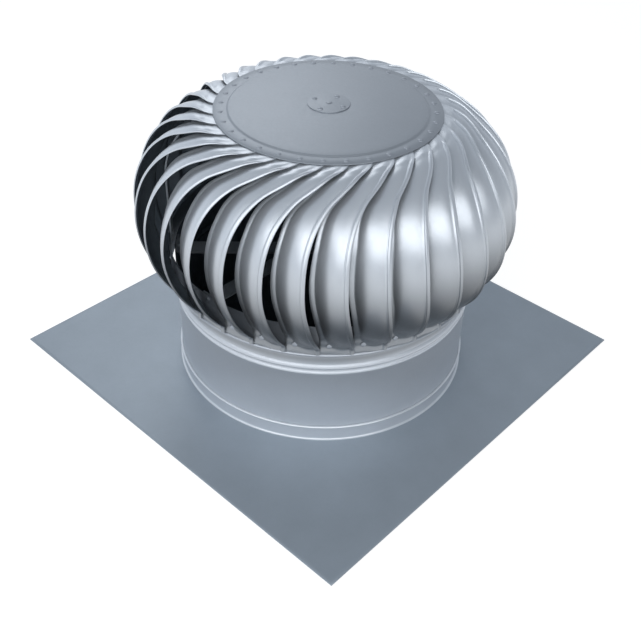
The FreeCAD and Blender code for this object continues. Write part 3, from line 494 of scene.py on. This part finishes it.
def base_piece():
    """The square plate with the neck drawn up from its hole, as one sheet.

    The neck's bend and roll have the second material, a lighter copy for painted highlights, and its
    wall the third, the collar's colour, lighter than the plate for painted light.
    """
    neck_outer = NECK_INNER + PLATE_SHEET
    bend_outer = neck_outer + NECK_BEND
    bend_top = PLATE_SHEET + NECK_BEND
    roll_low = NECK_TOP - NECK_ROLL_HEIGHT
    face_rim = square_ring(PLATE_HALF - PLATE_EDGE, PLATE_SHEET)
    bend_foot = circle_ring(bend_outer, PLATE_SHEET)
    rings = [
        square_ring(PLATE_HALF, PLATE_EDGE),
        square_ring(PLATE_HALF, PLATE_SHEET - PLATE_EDGE),
        face_rim,
    ]
    for share in PLATE_SHARES:
        rings.append([tuple(Vector(a) * share + Vector(b) * (1 - share))
                      for a, b in zip(face_rim, bend_foot)])
    neck = []
    for step in range(BEND_STEPS + 1):
        angle = math.radians(90 * step / BEND_STEPS)
        neck.append((bend_outer - NECK_BEND * math.sin(angle),
                     PLATE_SHEET + NECK_BEND * (1 - math.cos(angle))))
    neck.append((neck_outer, roll_low))
    neck += bulge((neck_outer, roll_low), (neck_outer, NECK_TOP - NECK_ROLL_END), NECK_ROLL_PROUD)
    neck += top_edge(neck_outer, NECK_INNER, NECK_TOP)[1:]
    for step in reversed(range(BEND_STEPS + 1)):
        angle = math.radians(90 * step / BEND_STEPS)
        neck.append((bend_outer - bend_top * math.sin(angle), bend_top * (1 - math.cos(angle))))
    rings += [circle_ring(radius, height) for radius, height in neck]
    rings.append(square_ring(PLATE_HALF - PLATE_EDGE, 0.0))
    vertices, faces = closed_loft(rings)
    plate = finish_piece("base_plate", vertices, faces, "base", GALVANISED,
                         ["base_flashing"])
    plate.data.materials.append(NECK_HIGHLIGHT_METAL)
    plate.data.materials.append(COLLAR_METAL)
    # Painted light: the bend and roll take the lighter highlight copy, the wall the collar's colour,
    # lighter than the plate.
    for polygon in plate.data.polygons:
        height = polygon.center.z / MM
        if height > roll_low or PLATE_SHEET + BEND_HIGHLIGHT_MARGIN < height < bend_top:
            polygon.material_index = 1
        elif height > bend_top:
            polygon.material_index = 2


def collar_piece():
    """The throat's collar with its two beads."""
    outer = THROAT_RADIUS + COLLAR_SHEET
    beads = [
        (SMALL_BEAD_HEIGHT - SMALL_BEAD_HALF, SMALL_BEAD_HEIGHT + SMALL_BEAD_HALF, SMALL_BEAD_PROUD),
        (BEAD_HEIGHT - BEAD_HALF, BEAD_HEIGHT + BEAD_HALF, BEAD_PROUD),
    ]
    outline = [(outer, 0.0)]
    for low, high, proud in beads:
        outline.append((outer, low))
        outline += bulge((outer, low), (outer, high), proud)
        outline.append((outer, high))
    outline += top_edge(outer, THROAT_RADIUS, COLLAR_TOP)
    for low, high, proud in reversed(beads):
        outline.append((THROAT_RADIUS, high))
        outline += bulge((THROAT_RADIUS, high), (THROAT_RADIUS, low), -proud)
        outline.append((THROAT_RADIUS, low))
    outline.append((THROAT_RADIUS, 0.0))
    lathe("throat_collar_sheet", outline, "base", COLLAR_METAL,
          ["throat_collar"], inside=INNER_SHADE_METAL)


def skirt_piece():
    """The skirt ring with its rolled hem."""
    inner = SKIRT_RADIUS - SKIRT_SHEET
    hem_top = SKIRT_BOTTOM + HEM_HEIGHT
    outline = [(inner, SKIRT_BOTTOM + SKIRT_EDGE), (inner + SKIRT_EDGE, SKIRT_BOTTOM)]
    outline += bulge((SKIRT_RADIUS, SKIRT_BOTTOM), (SKIRT_RADIUS, hem_top), HEM_PROUD, HEM_STEPS)
    outline.append((SKIRT_RADIUS, hem_top + HEM_END))
    outline += top_edge(SKIRT_RADIUS, inner, SKIRT_TOP)
    lathe("skirt_ring_sheet", outline, "rotor", SKIRT_METAL, ["skirt_ring"],
          inside=INNER_SHADE_METAL)


def disc_piece():
    """The crowned disc with a flat rim and a pressed step."""
    step_inner = STEP_RADIUS - STEP_WIDTH
    crown = DISC_FLAT_TOP - RIM_TOP - STEP_HEIGHT
    top = [(DISC_RADIUS, RIM_TOP - SHEET_EDGE), (DISC_RADIUS - SHEET_EDGE, RIM_TOP),
           (STEP_RADIUS + STEP_FLAT, RIM_TOP)]
    for step in range(STEP_POINTS + 1):
        share = step / STEP_POINTS
        top.append((STEP_RADIUS + STEP_LEAD - (STEP_WIDTH + STEP_LEAD) * share,
                    RIM_TOP + STEP_HEIGHT * smooth_step(share)))
    for step in range(1, CROWN_POINTS + 1):
        share = step / CROWN_POINTS
        top.append((step_inner + (DISC_FLAT_RADIUS - step_inner) * share,
                    RIM_TOP + STEP_HEIGHT + crown * math.sin(share * math.pi / 2)))
    top += [(INNER_RING, DISC_FLAT_TOP), (MIDDLE_RADIUS, DISC_FLAT_TOP)]
    under = [(radius, height - DISC_SHEET) for radius, height in reversed(top[1:])]
    under.append((DISC_RADIUS, DISC_RIM_UNDER + SHEET_EDGE))
    lathe("top_disc_sheet", top + under, "rotor", DISC_METAL, ["top_disc"],
          inside=INNER_SHADE_METAL)


def cap_piece():
    """The cap plate with its raised button."""
    top = DISC_FLAT_TOP + CAP_SHEET
    outline = [
        (MIDDLE_RADIUS, DISC_FLAT_TOP, 0.0),
        (CAP_RADIUS, DISC_FLAT_TOP, 0.0),
        (CAP_RADIUS, top, CAP_EDGE),
        (CAP_BUTTON_RADIUS, top, CAP_EDGE),
        (CAP_BUTTON_RADIUS - BUTTON_SLOPE, CAP_BUTTON_TOP, BUTTON_EDGE),
        (MIDDLE_RADIUS, CAP_BUTTON_TOP, 0.0),
    ]
    lathe("centre_cap_plate", rounded(outline), "rotor", DISC_METAL, ["centre_cap"],
          count=CAP_COUNT)


def rivet_set(name, node, body, seats, head_height=RIVET_HEIGHT):
    """Domed rivet heads, one for each seat (point, outward way)."""
    outline = []
    for step in range(RIVET_ROWS):
        angle = math.radians(90 * step / RIVET_ROWS)
        outline.append((RIVET_RADIUS * math.cos(angle), head_height * math.sin(angle)))
    vertices = []
    faces = []
    for point, way in seats:
        turn = Vector((0, 0, 1)).rotation_difference(Vector(way)).to_matrix()
        first = len(vertices)
        for radius, height in outline:
            for place in circle_ring(radius, height, RIVET_AROUND):
                vertices.append(Vector(point) + turn @ Vector(place))
        last = len(vertices) - RIVET_AROUND
        top = len(vertices)
        bottom = top + 1
        vertices += [Vector(point) + turn @ Vector((0, 0, head_height)), Vector(point)]
        for k in range(RIVET_AROUND):
            beside = (k + 1) % RIVET_AROUND
            for row in range(first, last, RIVET_AROUND):
                above = row + RIVET_AROUND
                faces.append((row + k, row + beside, above + beside, above + k))
            faces.append((last + k, last + beside, top))
            faces.append((first + beside, first + k, bottom))
    finish_piece(name, vertices, faces, body, RIVET_METAL, [node], sharp=60.0)


def upright_seats(radius, height, first, count):
    """Seats on a level face, evenly spaced round the axis."""
    seats = []
    for k in range(count):
        angle = math.radians(first + 360 * k / count)
        seats.append(((radius * math.cos(angle), radius * math.sin(angle), height), (0, 0, 1)))
    return seats


def radial_seats(radius, height, first, count):
    """Seats on an upright face, evenly spaced round the axis."""
    seats = []
    for k in range(count):
        angle = math.radians(first + 360 * k / count)
        way = (math.cos(angle), math.sin(angle), 0)
        seats.append(((radius * way[0], radius * way[1], height), way))
    return seats


def hermite(places, values, place):
    """Smooth curve through values at places, evaluated at one place."""
    last = len(places) - 1
    index = max(i for i in range(last) if places[i] <= place or i == 0)

    def slope(i):
        if i == 0:
            return (values[1] - values[0]) / (places[1] - places[0])
        if i == last:
            return (values[last] - values[last - 1]) / (places[last] - places[last - 1])
        return (values[i + 1] - values[i - 1]) / (places[i + 1] - places[i - 1])

    gap = places[index + 1] - places[index]
    share = (place - places[index]) / gap
    return (values[index] * (1 + 2 * share) * (1 - share) ** 2
            + slope(index) * gap * share * (1 - share) ** 2
            + values[index + 1] * share ** 2 * (3 - 2 * share)
            + slope(index + 1) * gap * share ** 2 * (share - 1))


def on_dome(polar):
    """Radius and height of the dome's outline: its ellipse with the crest, upright at the feet."""
    angle = math.radians(polar)
    rise = DOME_RISE if polar > 0 else DOME_FALL
    radius = DOME_CENTRE_RADIUS + (DOME_RADIUS - DOME_CENTRE_RADIUS) * math.cos(angle)
    if polar < 0:
        radius = max(radius, SKIRT_RADIUS + FOOT_STANDOFF)
    crest = CREST_RISE * math.exp(-((polar - CREST_POLAR) / CREST_REACH) ** 2)
    return radius, EQUATOR_HEIGHT + rise * math.sin(angle) + crest


def belly_curve(hem, crease):
    """The belly from the hem's inner end to the lip's crease, fuller towards the lip."""
    chord = crease - hem
    lean = math.atan2(chord.y, chord.x)
    onset = min(1, BELLY_ONSET * abs(lean))
    leaving = lean + math.radians(BELLY_LEAVING) * onset
    arriving = lean - math.radians(BELLY_ARRIVING) * onset
    reach = BELLY_PULL * chord.length
    first = hem + Vector((math.cos(leaving), math.sin(leaving))) * reach
    last = crease - Vector((math.cos(arriving), math.sin(arriving))) * reach
    points = []
    for step in range(1, BELLY_POINTS):
        share = step / BELLY_POINTS
        left = 1 - share
        points.append(hem * left ** 3 + first * 3 * left ** 2 * share
                      + last * 3 * left * share ** 2 + crease * share ** 3)
    return points


def smooth_step(share):
    """0 up to 0, 1 from 1 on, and smooth between them."""
    share = min(max(share, 0.0), 1.0)
    return share * share * (3 - 2 * share)


def vane_outline(half_width, tuck, hem, fold):
    """Outer and inner line of a vane's section, as pairs of (across, out) points.

    fold is how far the lip is folded and raised: 0 on the plain tab, 1 along the dome.
    """
    fullness = tuck / EQUATOR_TUCK
    left = -half_width
    band_start = half_width - LIP_BAND
    lip_fall = LIP_DROP * fullness
    hem_end = Vector((left + hem, -tuck))
    crease = Vector((band_start, -lip_fall - LIP_STEP * fold))
    outer = [Vector((left + across, -tuck - below)) for across, below in HEM_NOSE]
    outer += [Vector((left + hem / 2, -tuck)), Vector((left + hem - HEM_HOLD, -tuck)), hem_end]
    outer += belly_curve(hem_end, crease)
    outer.append(crease)
    single = len(outer)
    for part, share in RISER_POINTS:
        across = LIP_RISER * part
        outer.append(Vector((band_start + across, -lip_fall - LIP_STEP * fold * (1 - share))))
    for share in ARCH_SHARES:
        arch = LIP_ARCH * fold * math.sin(math.pi * share)
        outer.append(Vector((band_start + LIP_BAND * share, -lip_fall * (1 - share) + arch)))
    edge = VANE_SHEET * (0.5 + 0.5 * fold)
    for angle in LIP_EDGE_ANGLES:
        raised = math.radians(angle)
        outer.append(Vector((half_width - edge * (1 - math.sin(raised)),
                             -edge * (1 - math.cos(raised)))))
    inner = []
    for index, point in enumerate(outer):
        before = outer[max(index - 1, 0)]
        after = outer[min(index + 1, len(outer) - 1)]
        way = (after - before).normalized()
        down = Vector((way.y, -way.x))
        depth = VANE_SHEET * (1.0 if index < single else 1.0 + fold)
        if index >= len(outer) - len(LIP_EDGE_ANGLES):
            inner.append(Vector((point.x, -2 * edge - point.y)))
        elif index >= single:
            inner.append(Vector((point.x, -lip_fall * (half_width - point.x) / LIP_BAND - depth)))
        else:
            inner.append(point + down * depth)
    for index in range(len(HEM_NOSE)):
        inner[index] = Vector((outer[index].x, -2 * tuck - VANE_SHEET - outer[index].y))
    return outer, inner


def vane_mesh():
    """Vertices, faces and inner faces of the vane whose lip's foot is at azimuth 0."""
    stations = list(STATIONS.values())
    outline = [Vector(on_dome(station[0])) for station in stations]
    places = [0.0]
    for before, after in zip(outline, outline[1:]):
        places.append(places[-1] + (after - before).length)
    pitch = 360 / VANE_COUNT
    vertices = []
    for row in range(VANE_ROWS):
        place = places[-1] * row / (VANE_ROWS - 1)
        polar, tilt, lean, lap, tuck, hem = [
            hermite(places, [station[index] for station in stations], place) for index in range(6)]
        radius, height = on_dome(polar)
        middle = math.radians(lean - (pitch - lap) / 2)
        half_width = radius * math.sin(math.radians((pitch - lap) / 2))
        level = Vector((math.cos(middle), math.sin(middle), 0))
        around = Vector((-math.sin(middle), math.cos(middle), 0))
        raised = math.radians(tilt)
        outward = level * math.cos(raised) + Vector((0, 0, math.sin(raised)))
        origin = level * radius + Vector((0, 0, height))
        fold = smooth_step((FOLD_START - polar) / FOLD_LENGTH)
        half_width += TAB_WAVE * math.exp(-((polar - TAB_WAVE_POLAR) / TAB_WAVE_REACH) ** 2)
        outer, inner = vane_outline(half_width, tuck, hem, fold)
        for across, out in outer + inner:
            drop = (radius - math.sqrt(radius ** 2 - across ** 2)) * math.cos(raised)
            vertices.append(origin + around * across + outward * (out - drop))
    columns = len(outer)
    total = 2 * columns
    loop = list(range(columns)) + list(range(total - 1, columns - 1, -1))
    faces = []
    inner_faces = set()
    for row in range(VANE_ROWS - 1):
        for index in range(total):
            if columns <= index < total - 1:
                inner_faces.add(len(faces))
            here = loop[index]
            beside = loop[(index + 1) % total]
            faces.append((row * total + here, (row + 1) * total + here,
                          (row + 1) * total + beside, row * total + beside))
    for row, flip in ((0, False), (VANE_ROWS - 1, True)):
        for index in range(columns - 1):
            face = [index, columns + index, columns + index + 1, index + 1]
            face = [row * total + corner for corner in face]
            faces.append(tuple(face if flip else reversed(face)))
    return vertices, faces, inner_faces


def vane_pieces():
    """The 32 vanes, each a turned copy of the same sheet."""
    vertices, faces, inner_faces = vane_mesh()
    for number in range(VANE_COUNT):
        turn = Matrix.Rotation(math.radians(LIP_FOOT_ANGLE + 360 * number / VANE_COUNT), 3, "Z")
        node = "vane_%02d" % (number + 1)
        finish_piece(node + "_sheet", [turn @ point for point in vertices], faces, "rotor",
                     VANE_METAL, [node], sharp=40.0, inside=VANE_INNER_SHADE_METAL,
                     inner_faces=inner_faces)


def way_at(azimuth, elevation):
    """The direction at an azimuth counted from the camera's, to its right, and an elevation."""
    turn = math.radians(CAMERA_TURN - 90 + azimuth)
    raised = math.radians(elevation)
    return Vector((math.cos(turn) * math.cos(raised), math.sin(turn) * math.cos(raised),
                   math.sin(raised)))


def area_lamp(name, azimuth, elevation, distance, sides, power):
    """A rectangular studio lamp that faces the dome, its azimuth counted from the camera's."""
    lamp = bpy.data.lights.new(name, "AREA")
    lamp.shape = "RECTANGLE"
    lamp.size, lamp.size_y = sides
    lamp.energy = power
    lamp_object = bpy.data.objects.new(name, lamp)
    bpy.context.scene.collection.objects.link(lamp_object)
    way = way_at(azimuth, elevation)
    lamp_object.location = Vector((0, 0, LAMP_AIM_HEIGHT)) + way * distance
    lamp_object.rotation_euler = way.to_track_quat("Z", "Y").to_euler()


def world_light():
    """A plain studio world: paler towards the horizon, and behind the object on the left."""
    world = bpy.data.worlds.new("studio")
    bpy.context.scene.world = world
    world.use_nodes = True
    tree = world.node_tree
    place = node_of(tree, "ShaderNodeTexCoord", (-1100, 0)).outputs["Generated"]
    split = node_of(tree, "ShaderNodeSeparateXYZ", (-900, 100), {"Vector": place})
    ramp = node_of(tree, "ShaderNodeValToRGB", (-700, 100), {"Fac": split.outputs["Z"]})
    stops = ramp.color_ramp.elements
    while len(stops) < len(WORLD_LEVELS):
        stops.new(0.5)
    for stop, (position, colour) in zip(stops, WORLD_LEVELS.items()):
        stop.position = position
        stop.color = colour + (1,)
    side = node_of(tree, "ShaderNodeVectorMath", (-900, -150),
                   {0: place, 1: way_at(WORLD_GAIN_AZIMUTH, 0)}, operation="DOT_PRODUCT")
    gain = ranged(tree, (-700, -150), side.outputs["Value"], (-1.0, 1.0),
                  (1 - WORLD_GAIN, 1 + WORLD_GAIN))
    shade = node_of(tree, "ShaderNodeVectorMath", (-350, 0),
                    {0: ramp.outputs["Color"], "Scale": gain}, operation="SCALE")
    tree.links.new(shade.outputs["Vector"], tree.nodes["Background"].inputs["Color"])


def stage_sheet(name, half, height, material):
    """A level square of the stage, which isn't part of the object."""
    mesh = bpy.data.meshes.new(name)
    corners = [(-half, -half, height), (half, -half, height), (half, half, height),
               (-half, half, height)]
    mesh.from_pydata([Vector(corner) * MM for corner in corners], [], [(0, 1, 2, 3)])
    mesh.materials.append(material)
    sheet = bpy.data.objects.new(name, mesh)
    bpy.context.scene.collection.objects.link(sheet)


def matt_material(name, colour):
    """A plain matt material for the stage."""
    material = bpy.data.materials.new(name)
    material.use_nodes = True
    shader = material.node_tree.nodes["Principled BSDF"]
    shader.inputs["Base Color"].default_value = colour + (1,)
    shader.inputs["Roughness"].default_value = MATT_ROUGHNESS
    shader.inputs["Specular IOR Level"].default_value = 0.0
    return material


def floor_pieces():
    """The floor, and the roof opening that the throat stands over, a dark sheet that is painted shade
    of the duct below.

    The floor shows white to the camera and in reflections, and keeps the shadow.
    """
    white = matt_material("floor", FLOOR_COLOUR)
    tree = white.node_tree
    shader = tree.nodes["Principled BSDF"]
    path = node_of(tree, "ShaderNodeLightPath", (-900, 200))
    seen = worked_out(tree, (-700, 200), "ADD", path.outputs["Is Camera Ray"],
                      path.outputs["Is Glossy Ray"])
    seen = worked_out(tree, (-500, 200), "ADD", seen, path.outputs["Is Transmission Ray"])
    glow = worked_out(tree, (-300, 200), "MULTIPLY", seen, FLOOR_GLOW)
    shader.inputs["Emission Color"].default_value = (1, 1, 1, 1)
    tree.links.new(glow, shader.inputs["Emission Strength"])
    stage_sheet("floor", FLOOR_HALF, FLOOR_HEIGHT, white)
    stage_sheet("roof_opening", OPENING_HALF, OPENING_HEIGHT,
                matt_material("roof_opening", OPENING_SHADE_COLOUR))


def camera_at_photo():
    """The camera that the photograph was fitted with."""
    side = 2 * PLATE_HALF * MM
    raised = math.radians(CAMERA_ELEVATION)
    roll = math.radians(CAMERA_ROLL)
    forward = Vector((0, math.cos(raised), -math.sin(raised)))
    right = Vector((1, 0, 0))
    up = right.cross(forward)
    rolled_right = right * math.cos(roll) + up * math.sin(roll)
    rolled_up = up * math.cos(roll) - right * math.sin(roll)
    place = Vector((CAMERA_AIM_ACROSS, 0, CAMERA_AIM_HEIGHT)) - forward * CAMERA_DISTANCE
    matrix = Matrix((
        (rolled_right.x, rolled_up.x, -forward.x, place.x * side),
        (rolled_right.y, rolled_up.y, -forward.y, place.y * side),
        (rolled_right.z, rolled_up.z, -forward.z, place.z * side),
        (0, 0, 0, 1)))
    camera = bpy.data.cameras.new("photo_camera")
    camera.sensor_width = SENSOR_WIDTH
    camera.lens = SENSOR_WIDTH * CAMERA_FOCAL_PX / PHOTO_SIDE
    camera.clip_start = CAMERA_NEAR
    camera_object = bpy.data.objects.new("photo_camera", camera)
    bpy.context.scene.collection.objects.link(camera_object)
    camera_object.matrix_world = Matrix.Rotation(math.radians(CAMERA_TURN), 4, "Z") @ matrix
    bpy.context.scene.camera = camera_object


finish_kept_nodes()
base_piece()
collar_piece()
skirt_piece()
disc_piece()
cap_piece()
vane_pieces()
rivet_set("rim_rivet_heads", "rim_rivets", "rotor",
          upright_seats(RIM_RIVET_RADIUS, RIM_TOP, RIM_RIVET_ANGLE, VANE_COUNT))
rivet_set("foot_rivet_heads", "foot_rivets", "rotor",
          radial_seats(SKIRT_RADIUS + FOOT_RIVET_REACH, FOOT_RIVET_HEIGHT, FOOT_RIVET_ANGLE,
                       VANE_COUNT))
rivet_set("cap_rivet_heads", "cap_rivets", "rotor",
          upright_seats(CAP_RIVET_RADIUS, DISC_FLAT_TOP + CAP_SHEET, CAP_RIVET_ANGLE,
                        CAP_RIVET_COUNT),
          head_height=CAP_RIVET_HEIGHT)

floor_pieces()
world_light()
camera_at_photo()
for lamp in LAMPS:
    area_lamp(*lamp)

bpy.context.scene.view_settings.view_transform = "Standard"
